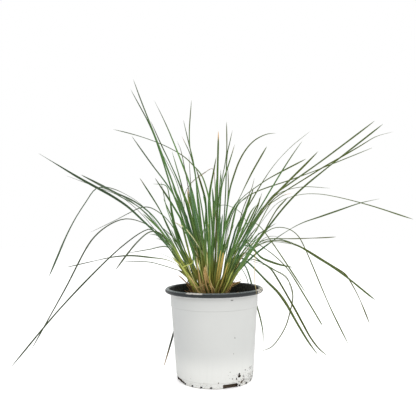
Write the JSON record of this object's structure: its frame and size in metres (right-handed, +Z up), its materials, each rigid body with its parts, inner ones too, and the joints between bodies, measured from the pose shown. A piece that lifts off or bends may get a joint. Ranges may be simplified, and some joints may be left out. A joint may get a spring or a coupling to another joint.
{
  "type": "potted blue oat grass",
  "caption": "Tussock of long folded grass leaves rising and arching over on all sides from a round tapered nursery pot with a rolled dark rim.",
  "frame": {"origin": "middle of the pot's flat foot, on the surface that it stands on", "axes": "+Z up along the pot's axis; the front of the plant faces -Y; its widest spread of leaves runs along X"},
  "size_m": [0.7556, 0.545, 0.5445],
  "materials": {
    "pot": "satin white polypropylene, rim and inside dark",
    "soil": "dark moist potting mix",
    "crown": "dry straw-brown sheaths",
    "leaf_blue": "waxy blue-green leaf",
    "leaf_green": "satin mid-green leaf",
    "leaf_olive": "dull olive-grey leaf",
    "leaf_straw": "dry straw-coloured leaf"
  },
  "bodies": {
    "root": {"pot": "pot", "soil": "soil", "crown": "crown", "leaf_01": "leaf_olive", "leaf_02": "leaf_olive", "leaf_03": "leaf_blue", "leaf_04": "leaf_olive", "leaf_05": "leaf_green", "leaf_06": "leaf_olive", "leaf_07": "leaf_straw", "leaf_08": "leaf_blue", "leaf_09": "leaf_blue", "leaf_10": "leaf_green", "leaf_11": "leaf_green", "leaf_12": "leaf_green", "leaf_13": "leaf_green", "leaf_14": "leaf_green", "leaf_15": "leaf_blue", "leaf_16": "leaf_blue", "leaf_17": "leaf_blue", "leaf_18": "leaf_green", "leaf_19": "leaf_blue", "leaf_20": "leaf_green", "leaf_21": "leaf_green", "leaf_22": "leaf_green", "leaf_23": "leaf_green", "leaf_24": "leaf_blue", "leaf_25": "leaf_green", "leaf_26": "leaf_blue", "leaf_27": "leaf_green", "leaf_28": "leaf_green", "leaf_29": "leaf_green", "leaf_30": "leaf_green", "leaf_31": "leaf_green", "leaf_32": "leaf_green", "leaf_33": "leaf_green", "leaf_34": "leaf_green", "leaf_35": "leaf_blue", "leaf_36": "leaf_blue", "leaf_37": "leaf_green", "leaf_38": "leaf_green", "leaf_39": "leaf_blue", "leaf_40": "leaf_green", "leaf_41": "leaf_green", "leaf_42": "leaf_blue", "leaf_43": "leaf_green", "leaf_44": "leaf_olive", "leaf_45": "leaf_blue", "leaf_46": "leaf_olive", "leaf_47": "leaf_green", "leaf_48": "leaf_blue", "leaf_49": "leaf_blue", "leaf_50": "leaf_olive", "leaf_51": "leaf_blue", "leaf_52": "leaf_green", "leaf_53": "leaf_green", "leaf_54": "leaf_blue", "leaf_55": "leaf_blue", "leaf_56": "leaf_green", "leaf_57": "leaf_straw"}
  },
  "joints": []
}
